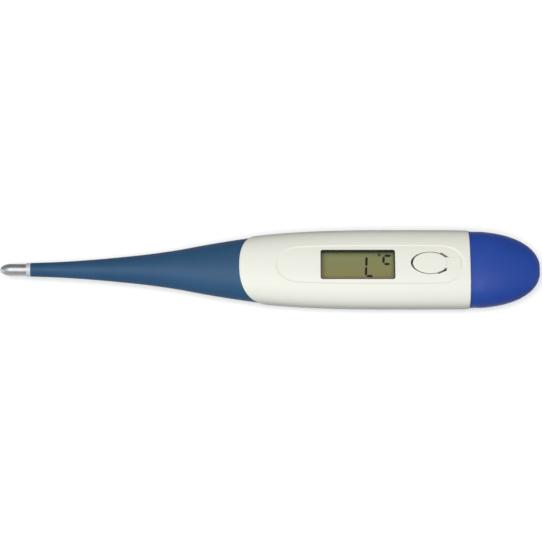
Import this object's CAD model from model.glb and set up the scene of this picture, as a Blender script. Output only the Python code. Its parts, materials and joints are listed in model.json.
"""Looks of a clinical digital thermometer with a flexible stem.

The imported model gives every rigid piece.  This script gives each piece its material, and adds the
rubber stem as one smooth skin that bends from hinge to hinge with the two wires inside it.  The
floor, the lights and the camera come last.  Blender works in metres.  The stem is laid out in
millimetres, by distance from the metal tip.
"""

import json
import math

import bmesh
import bpy
import numpy as np
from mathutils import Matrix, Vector

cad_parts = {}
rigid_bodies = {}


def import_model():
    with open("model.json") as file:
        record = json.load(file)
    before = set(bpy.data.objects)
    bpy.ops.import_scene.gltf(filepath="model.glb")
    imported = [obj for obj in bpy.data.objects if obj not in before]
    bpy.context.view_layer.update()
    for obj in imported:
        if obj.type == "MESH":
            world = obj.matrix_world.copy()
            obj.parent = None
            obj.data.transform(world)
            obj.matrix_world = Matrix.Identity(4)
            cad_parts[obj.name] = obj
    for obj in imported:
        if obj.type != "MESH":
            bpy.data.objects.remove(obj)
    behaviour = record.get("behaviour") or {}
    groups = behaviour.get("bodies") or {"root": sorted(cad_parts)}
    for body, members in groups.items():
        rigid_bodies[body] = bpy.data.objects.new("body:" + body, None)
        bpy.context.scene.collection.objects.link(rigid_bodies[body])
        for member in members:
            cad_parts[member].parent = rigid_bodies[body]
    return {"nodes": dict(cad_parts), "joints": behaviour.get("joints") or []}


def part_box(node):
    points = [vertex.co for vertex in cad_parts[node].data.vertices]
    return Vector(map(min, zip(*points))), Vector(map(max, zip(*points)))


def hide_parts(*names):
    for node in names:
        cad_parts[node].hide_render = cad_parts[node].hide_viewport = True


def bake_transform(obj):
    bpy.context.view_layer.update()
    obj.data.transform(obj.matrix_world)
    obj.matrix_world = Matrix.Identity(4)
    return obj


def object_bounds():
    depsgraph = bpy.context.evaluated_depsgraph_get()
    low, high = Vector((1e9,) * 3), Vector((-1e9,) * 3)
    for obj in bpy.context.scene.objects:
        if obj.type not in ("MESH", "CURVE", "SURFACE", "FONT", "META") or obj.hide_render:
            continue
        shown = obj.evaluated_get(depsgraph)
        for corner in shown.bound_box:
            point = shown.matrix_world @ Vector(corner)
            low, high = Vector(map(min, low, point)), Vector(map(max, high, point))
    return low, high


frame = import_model()
cad_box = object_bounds()
nodes = frame["nodes"]
scene = bpy.context.scene

MM = 0.001
TIP_X = cad_box[0][0]  # X of the very end of the metal tip
REACH = cad_box[1][0] - TIP_X
AXIS_Z = 0.5 * (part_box("probe_tip")[0][2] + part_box("probe_tip")[1][2])


# ---------------------------------------------------------------- shader helpers
class Shader:
    """A new material with its Principled node, and short ways to add nodes to it."""

    def __init__(self, name, colour, roughness, **sockets):
        self.material = bpy.data.materials.new(name)
        self.material.use_nodes = True
        self.tree = self.material.node_tree
        self.surface = self.tree.nodes["Principled BSDF"]
        self.set("Base Color", (*colour, 1.0))
        self.set("Roughness", roughness)
        for socket, value in sockets.items():
            self.set(socket.replace("_", " "), value)
        self.place = self.add("ShaderNodeTexCoord").outputs["Object"]

    def set(self, socket, value):
        self.surface.inputs[socket].default_value = value

    def add(self, kind, **settings):
        node = self.tree.nodes.new(kind)
        for key, value in settings.items():
            setattr(node, key, value)
        return node

    def link(self, output, target):
        self.tree.links.new(output, target)

    def noise(self, per_mm, detail=2.0, stretch=(1, 1, 1)):
        """Noise with this many features in a millimetre."""
        mapping = self.add("ShaderNodeMapping")
        mapping.inputs["Scale"].default_value = [1000 * per_mm * s for s in stretch]
        self.link(self.place, mapping.inputs["Vector"])
        texture = self.add("ShaderNodeTexNoise")
        texture.inputs["Scale"].default_value = 1.0
        texture.inputs["Detail"].default_value = detail
        self.link(mapping.outputs["Vector"], texture.inputs["Vector"])
        return texture.outputs["Fac"]

    def spread(self, value, low, high, start=0.3, end=0.7):
        """Map a value from start..end to low..high."""
        remap = self.add("ShaderNodeMapRange")
        for socket, number in (("From Min", start), ("From Max", end), ("To Min", low), ("To Max", high)):
            remap.inputs[socket].default_value = number
        self.link(value, remap.inputs["Value"])
        return remap.outputs["Result"]

    def ramp(self, value, *stops):
        """Colour ramp from (position, colour) stops."""
        node = self.add("ShaderNodeValToRGB")
        ramp = node.color_ramp
        while len(ramp.elements) < len(stops):
            ramp.elements.new(0.5)
        for element, (position, colour) in zip(ramp.elements, stops):
            element.position = position
            element.color = (*colour, 1.0)
        self.link(value, node.inputs["Fac"])
        return node.outputs["Color"]

    def bump(self, height, depth_mm, strength=1.0, bevel_mm=0.0):
        """Bump of this depth, over edges that are softened by bevel_mm."""
        node = self.add("ShaderNodeBump")
        node.inputs["Strength"].default_value = strength
        node.inputs["Distance"].default_value = depth_mm * MM
        self.link(height, node.inputs["Height"])
        if bevel_mm:
            bevel = self.add("ShaderNodeBevel", samples=4)
            bevel.inputs["Radius"].default_value = bevel_mm * MM
            self.link(bevel.outputs["Normal"], node.inputs["Normal"])
        self.link(node.outputs["Normal"], self.surface.inputs["Normal"])


def shaded(colour, amount):
    return tuple(channel * amount for channel in colour)


def give(material, *names):
    """Put a material on CAD nodes."""
    for name in names:
        slots = nodes[name].data.materials
        slots.clear()
        slots.append(material)


# ---------------------------------------------------------------- materials
def white_plastic(name, colour):
    """Fine-grained white plastic, with slight differences of tone and gloss."""
    shader = Shader(name, colour, 0.45, Specular_IOR_Level=0.12)
    shader.link(shader.spread(shader.noise(0.25), 0.41, 0.49), shader.surface.inputs["Roughness"])
    tint = shader.ramp(shader.noise(0.06), (0.3, shaded(colour, 0.985)), (0.7, colour))
    shader.link(tint, shader.surface.inputs["Base Color"])
    shader.bump(shader.noise(2.5, 3.0), 0.004, 0.5)
    return shader.material


def stem_rubber():
    """Matt dark blue rubber."""
    colour = (0.024, 0.072, 0.15)
    shader = Shader("stem_rubber", colour, 0.52, Specular_IOR_Level=0.15)
    tint = shader.ramp(shader.noise(0.12), (0.3, shaded(colour, 0.93)), (0.7, shaded(colour, 1.05)))
    shader.link(tint, shader.surface.inputs["Base Color"])
    shader.link(shader.spread(shader.noise(1.2), 0.48, 0.56), shader.surface.inputs["Roughness"])
    shader.bump(shader.noise(9.0, 3.0), 0.006, 0.6)
    return shader.material


def cap_plastic():
    """Satin blue plastic."""
    colour = (0.018, 0.054, 0.285)
    shader = Shader("cap_plastic", colour, 0.45, Specular_IOR_Level=0.15)
    tint = shader.ramp(shader.noise(0.1), (0.3, shaded(colour, 0.95)), (0.7, shaded(colour, 1.04)))
    shader.link(tint, shader.surface.inputs["Base Color"])
    shader.link(shader.spread(shader.noise(0.8), 0.42, 0.5), shader.surface.inputs["Roughness"])
    shader.bump(shader.noise(5.0, 3.0), 0.004, 0.5)
    return shader.material


def metal(name, colour, roughness, stretch=(1, 1, 1), per_mm=3.0):
    """Bare metal with a fine grain, which the stretch draws out."""
    shader = Shader(name, colour, roughness, Metallic=1.0)
    grain = shader.noise(per_mm, 3.0, stretch)
    low, high = roughness * 0.8, roughness * 1.2
    shader.link(shader.spread(grain, low, high), shader.surface.inputs["Roughness"])
    shader.bump(grain, 0.002, 0.4)
    return shader.material


def plain(name, colour, roughness, per_mm=1.5, **sockets):
    """Inner plastics, films and ceramics: slight colour and gloss variation."""
    shader = Shader(name, colour, roughness, **sockets)
    tint = shader.ramp(shader.noise(per_mm), (0.3, shaded(colour, 0.9)), (0.7, shaded(colour, 1.06)))
    shader.link(tint, shader.surface.inputs["Base Color"])
    grain = shader.noise(per_mm * 3, 3.0)
    shader.link(shader.spread(grain, roughness * 0.88, roughness * 1.1), shader.surface.inputs["Roughness"])
    shader.bump(grain, 0.003, 0.5)
    return shader.material


def display_film():
    """Olive reflective film: warmer at the near edge of the window, and masked along the far edge."""
    olive = (0.21, 0.228, 0.088)
    warm_olive = (0.236, 0.212, 0.077)
    shader = Shader("display_film", olive, 0.5, Specular_IOR_Level=0.15)
    separate = shader.add("ShaderNodeSeparateXYZ")
    shader.link(shader.place, separate.inputs["Vector"])
    low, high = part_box("lcd_polariser")
    height = shader.spread(separate.outputs["Y"], 0.0, 1.0, low[1], high[1])
    mask_edge, mask = shaded(olive, 0.75), shaded(olive, 0.45)
    tint = shader.ramp(height, (0.15, warm_olive), (0.78, olive), (0.87, mask_edge), (0.93, mask))
    shader.link(tint, shader.surface.inputs["Base Color"])
    shader.bump(shader.noise(12.0), 0.002, 0.4)
    return shader.material


def clear(name, colour, alpha, roughness):
    """See-through plastic or glass: light passes, with a gloss on its face."""
    shader = Shader(name, colour, roughness, IOR=1.49, Alpha=alpha)
    return shader.material


shell_white = (0.68, 0.68, 0.608)
rubber = stem_rubber()
steel = metal("spring_steel", (0.62, 0.6, 0.55), 0.3)
copper = metal("enamelled_copper", (0.55, 0.2, 0.07), 0.35)
epoxy = plain("potting", (0.012, 0.012, 0.013), 0.35)
film = display_film()

give(metal("tip_steel", (0.39, 0.39, 0.395), 0.56, (0.15, 1, 1), 6.0), "probe_tip")
give(plain("collar_plastic", (0.48, 0.51, 0.53), 0.35), "tip_collar")
give(white_plastic("shell_plastic", shell_white), "upper_cover", "lower_cover")
give(white_plastic("key_plastic", shell_white), "power_button")
give(cap_plastic(), "battery_cap")
give(clear("lens_acrylic", (0.1, 0.11, 0.1), 0.06, 0.05), "display_lens")
give(film, "lcd_polariser", "lcd_reflector")
give(clear("display_glass", (0.8, 0.85, 0.78), 0.4, 0.08), "lcd_glass")
give(plain("dark_trim", (0.012, 0.013, 0.012), 0.5), "window_surround")
give(plain("display_mark", (0.006, 0.007, 0.005), 0.7, Specular_IOR_Level=0.1), "lcd_segments")
give(plain("inner_plastic", (0.2, 0.21, 0.22), 0.5), "display_frame", "battery_tray")
give(plain("zebra_rubber", (0.4, 0.4, 0.36), 0.6), "zebra_connector")
give(plain("solder_mask", (0.02, 0.12, 0.05), 0.4), "circuit_board")
give(epoxy, "controller_chip", "sensor_epoxy")
give(plain("component_ceramic", (0.2, 0.13, 0.09), 0.5), "board_components")
give(steel, "dome_switch", "positive_contact", "negative_contact")
give(metal("buzzer_brass", (0.7, 0.48, 0.2), 0.3), "buzzer_plate")
give(plain("piezo_ceramic", (0.75, 0.73, 0.66), 0.5), "buzzer_ceramic", "thermistor")
give(plain("seal_rubber", (0.015, 0.015, 0.016), 0.6), "cap_seal")
give(metal("cell_steel", (0.66, 0.66, 0.67), 0.18), "coin_cell")
give(copper, "sensor_leads", "wire_tails")


# ---------------------------------------------------------------- rubber stem
# Distance from the tip, half width, half height and squareness, in millimetres.
STEM = np.array([
    (7.0, 1.61, 1.61, 2.0),
    (14.0, 1.86, 1.82, 2.0),
    (21.0, 2.32, 2.18, 2.0),
    (28.0, 2.94, 2.60, 2.0),
    (35.0, 3.70, 3.05, 2.0),
    (42.0, 4.72, 3.52, 2.0),
    (49.0, 6.02, 3.98, 2.1),
    (56.0, 7.18, 4.38, 2.2),
    (63.0, 8.15, 4.70, 2.3),
    (70.0, 8.80, 4.90, 2.4),
])
STEM_START = 7.3
SEAM_AT_AXIS = 61.35
SEAM_SLOPE = math.tan(math.radians(46.5))
AROUND = 96  # points round the stem
RING_STEP = 0.3  # between rings
SEAM_RUN = 1.0  # how far before the seam's nearest point the rings begin to slant
SEAM_RINGS = 16
WIRE_SIDE = 0.24  # from the axis to each wire's middle
WIRE_RADIUS = 0.14
WIRE_AROUND = 12
WIRE_RINGS = 7


def section_at(distance):
    """Half width, half height and squareness, on a smooth curve through the stations."""
    steps = STEM[:, 0]
    index = int(np.clip(np.searchsorted(steps, distance) - 1, 0, len(steps) - 2))
    before, after = max(index - 1, 0), min(index + 2, len(steps) - 1)
    a, b = STEM[index], STEM[index + 1]
    pitch = b[0] - a[0]
    t = (distance - a[0]) / pitch
    slope_a = (b - STEM[before])[1:] / (b[0] - STEM[before][0]) * pitch
    slope_b = (STEM[after] - a)[1:] / (STEM[after][0] - a[0]) * pitch
    return (
        (2 * t**3 - 3 * t**2 + 1) * a[1:]
        + (t**3 - 2 * t**2 + t) * slope_a
        + (3 * t**2 - 2 * t**3) * b[1:]
        + (t**3 - t**2) * slope_b
    )


def oval(half_width, half_height, squareness):
    """Points round a section, as (y, z) from the axis."""
    turn = np.linspace(0, 2 * math.pi, AROUND, endpoint=False)
    sideways = np.sign(np.cos(turn)) * np.abs(np.cos(turn)) ** (2 / squareness)
    upwards = np.sign(np.sin(turn)) * np.abs(np.sin(turn)) ** (2 / squareness)
    return half_width * sideways, half_height * upwards


def ring_at(distance):
    """One ring of the stem, flat across it."""
    y, z = oval(*section_at(distance))
    return np.column_stack([np.full(AROUND, distance), y, z])


def seam_ring():
    """The ring where the stem meets the covers, on their slanting front edge."""
    ring = ring_at(SEAM_AT_AXIS)
    for _ in range(4):
        for point in ring:
            point[0] = SEAM_AT_AXIS - SEAM_SLOPE * point[2]
        for i, point in enumerate(ring):
            y, z = oval(*section_at(point[0]))
            point[1], point[2] = y[i], z[i]
    return ring


def add_tube(mesh, rings):
    """Closed tube through rings of points, with flat ends that don't soften its edge."""
    rows = []
    for ring in rings:
        row = []
        for distance, y, z in ring:
            row.append(mesh.verts.new((TIP_X + distance * MM, y * MM, AXIS_Z + z * MM)))
        rows.append(row)
    for near, far in zip(rows, rows[1:]):
        for i in range(len(near)):
            j = (i + 1) % len(near)
            mesh.faces.new((near[i], far[i], far[j], near[j])).smooth = True
    for end in (mesh.faces.new(rows[0]), mesh.faces.new(reversed(rows[-1]))):
        for edge in end.edges:
            edge.smooth = False


def make_piece(name, mesh, material):
    """Object from finished mesh data."""
    bmesh.ops.recalc_face_normals(mesh, faces=mesh.faces)
    data = bpy.data.meshes.new(name)
    mesh.to_mesh(data)
    mesh.free()
    data.materials.append(material)
    piece = bpy.data.objects.new(name, data)
    scene.collection.objects.link(piece)
    return piece


def skin_rings(start, end, reaches_seam):
    """Rings of the skin from start to end, and from there on to the seam if the piece reaches it."""
    count = max(2, round((end - start) / RING_STEP) + 1)
    rings = [ring_at(distance) for distance in np.linspace(start, end, count)]
    if reaches_seam:
        foot, seam = rings[-1], seam_ring()
        rings += [foot + (seam - foot) * step for step in np.linspace(0.1, 1.0, SEAM_RINGS)]
    return rings


def wire_ring(distance, side):
    """One ring of a wire that runs beside the axis."""
    turn = np.linspace(0, 2 * math.pi, WIRE_AROUND, endpoint=False)
    y, z = side + WIRE_RADIUS * np.cos(turn), WIRE_RADIUS * np.sin(turn)
    return np.column_stack([np.full(WIRE_AROUND, distance), y, z])


def hinge_places():
    """Distance from the tip and the two bodies of each stem hinge, from the tip to the housing."""
    hinges = []
    for joint in frame["joints"]:
        if "bend" in joint["name"]:
            hinges.append(((joint["pos_m"][0] - TIP_X) / MM, joint["child"], joint["parent"]))
    return sorted(hinges)


hinges = hinge_places()
pitch = hinges[1][0] - hinges[0][0]
seam_foot = SEAM_AT_AXIS - SEAM_SLOPE * section_at(SEAM_AT_AXIS)[1] - SEAM_RUN
for number, (place, front_body, rear_body) in enumerate(hinges, 1):
    start, end = place - pitch / 2, place + pitch / 2
    first, last = number == 1, number == len(hinges)

    skin_mesh = bmesh.new()
    add_tube(skin_mesh, skin_rings(STEM_START if first else start, seam_foot if last else end, last))
    skin = make_piece(f"stem_rubber_{number:02d}", skin_mesh, rubber)
    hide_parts("stem_front" if first else f"stem_slice_{number - 1:02d}")
    if last:
        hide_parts("stem_root")

    wire_mesh = bmesh.new()
    for side in (-WIRE_SIDE, WIRE_SIDE):
        add_tube(wire_mesh, [wire_ring(distance, side) for distance in np.linspace(start, end, WIRE_RINGS)])
    wires = make_piece(f"bending_wires_{number:02d}", wire_mesh, copper)
    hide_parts("sensor_wires")

    for piece in (skin, wires):
        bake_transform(piece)


# ---------------------------------------------------------------- floor, lights and camera
COOL_LIGHT = (0.72, 0.9, 1.0)
PICTURE_SHARE = 539 / 542  # share of the picture's width that the object's length takes


def add_floor():
    """Pale floor just under the object, bright enough to be white in the picture."""
    mesh = bpy.data.meshes.new("floor")
    half = 1.5
    corners = [(-half, -half, 0), (half, -half, 0), (half, half, 0), (-half, half, 0)]
    mesh.from_pydata(corners, [], [(0, 1, 2, 3)])
    floor = bpy.data.objects.new("floor", mesh)
    floor.location.z = -0.00005
    scene.collection.objects.link(floor)
    shader = Shader("floor", (0.62, 0.62, 0.62), 0.5, Specular_IOR_Level=0.1)
    shader.set("Emission Color", (1, 1, 1, 1))
    shader.set("Emission Strength", 0.35)
    mesh.materials.append(shader.material)
    floor.visible_diffuse = False  # the pale floor would light the object's flanks too brightly


def add_softbox(name, place, size, power, colour=(1, 1, 1)):
    """Rectangular lamp that faces the origin."""
    light = bpy.data.lights.new(name, "AREA")
    light.shape = "RECTANGLE"
    light.size, light.size_y = size
    light.energy = power
    light.color = colour
    lamp = bpy.data.objects.new(name, light)
    lamp.location = place
    lamp.rotation_euler = (-Vector(place)).to_track_quat("-Z", "Y").to_euler()
    scene.collection.objects.link(lamp)


def add_camera():
    """Looks down along +Y at 75 degrees, with the object's whole length across the picture."""
    elevation = math.radians(75.3)
    distance = 0.42
    target = Vector((0.0003, -0.0003, AXIS_Z))
    camera = bpy.data.objects.new("camera", bpy.data.cameras.new("camera"))
    camera.location = target + distance * Vector((0, -math.cos(elevation), math.sin(elevation)))
    camera.rotation_euler = (math.pi / 2 - elevation, 0, 0)
    camera.data.sensor_width = 36
    camera.data.lens = camera.data.sensor_width * distance * PICTURE_SHARE / REACH
    camera.data.clip_start = 0.01
    scene.collection.objects.link(camera)
    scene.camera = camera


add_floor()
add_softbox("overhead", (-0.03, -0.11, 0.55), (0.45, 0.35), 4.1)
add_softbox("front_card", (0, -0.5, 0.14), (0.7, 0.2), 0.12)
add_softbox("left_strip", (-0.5, -0.15, 0.07), (0.3, 0.1), 1.0, COOL_LIGHT)
add_softbox("right_strip", (0.5, -0.08, 0.07), (0.3, 0.1), 0.25, COOL_LIGHT)
world = bpy.data.worlds.new("studio")
world.use_nodes = True
world.node_tree.nodes["Background"].inputs["Color"].default_value = (1, 1, 1, 1)
world.node_tree.nodes["Background"].inputs["Strength"].default_value = 0.07
scene.world = world
scene.view_settings.view_transform = "Standard"
add_camera()
